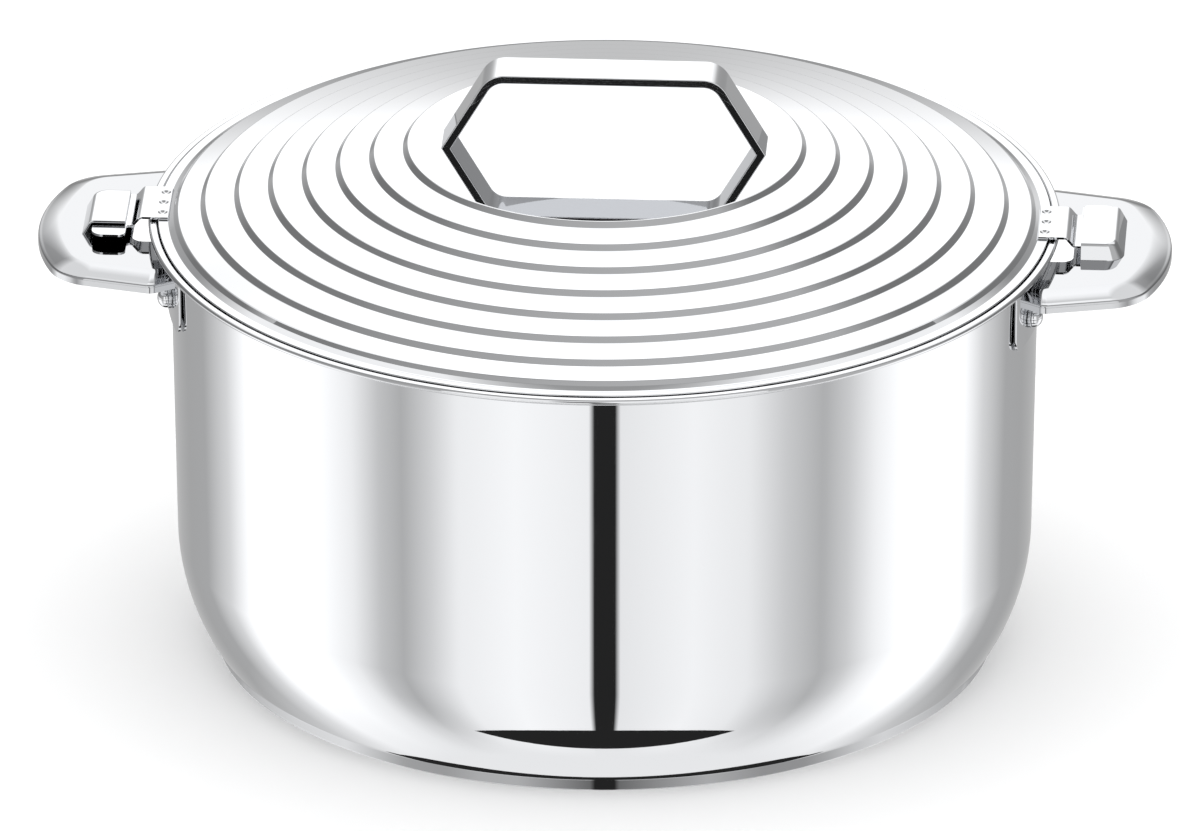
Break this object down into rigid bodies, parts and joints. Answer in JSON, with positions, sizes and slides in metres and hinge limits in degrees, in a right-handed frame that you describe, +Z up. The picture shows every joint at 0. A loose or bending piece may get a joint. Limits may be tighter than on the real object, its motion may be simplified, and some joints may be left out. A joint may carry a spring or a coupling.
{
  "type": "insulated casserole",
  "caption": "Round double-walled steel casserole with foam insulation, side handles and a stepped lid with a strip grip that turns to lock under hoods on the handles.",
  "frame": {"origin": "centre of the foot ring, on the table", "axes": "+Z up through the middle of the lid, +X along the line through the two side handles, +Y to the back"},
  "size_m": [0.38, 0.3056, 0.2048],
  "materials": {
    "polished_steel": "mirror-polished stainless sheet",
    "satin_steel": "plain rolled stainless sheet",
    "foam": "rigid polyurethane foam",
    "plug": "moulded plastic"
  },
  "bodies": {
    "pot": {"outer_shell": "polished_steel", "inner_bowl": "polished_steel", "body_foam": "foam", "base_plate": "polished_steel", "base_fill_plug": "plug", "handle_plate_left": "polished_steel", "handle_plate_right": "polished_steel", "handle_bracket_left": "satin_steel", "handle_bracket_right": "satin_steel", "lock_hood_left": "polished_steel", "lock_hood_right": "polished_steel", "handle_rivets_left": "polished_steel", "handle_rivets_right": "polished_steel", "rivet_washers_left": "satin_steel", "rivet_washers_right": "satin_steel"},
    "lid_lining": {"lid_pan": "polished_steel", "lid_fill_plug": "plug"},
    "lid": {"lid_skin": "polished_steel", "lid_foam": "foam", "lid_handle": "polished_steel", "handle_backing_plates": "satin_steel", "lid_clip_left": "polished_steel", "lid_clip_right": "polished_steel"}
  },
  "joints": [
    {"name": "lid_lift", "type": "slide", "parent": "pot", "child": "lid_lining", "axis": [0, 0, 1], "range_m": [0, 0.12]},
    {"name": "lid_twist", "type": "hinge", "parent": "lid_lining", "child": "lid", "pos_m": [0, 0, 0.152], "axis": [0, 0, 1], "range_deg": [0, 20]}
  ]
}
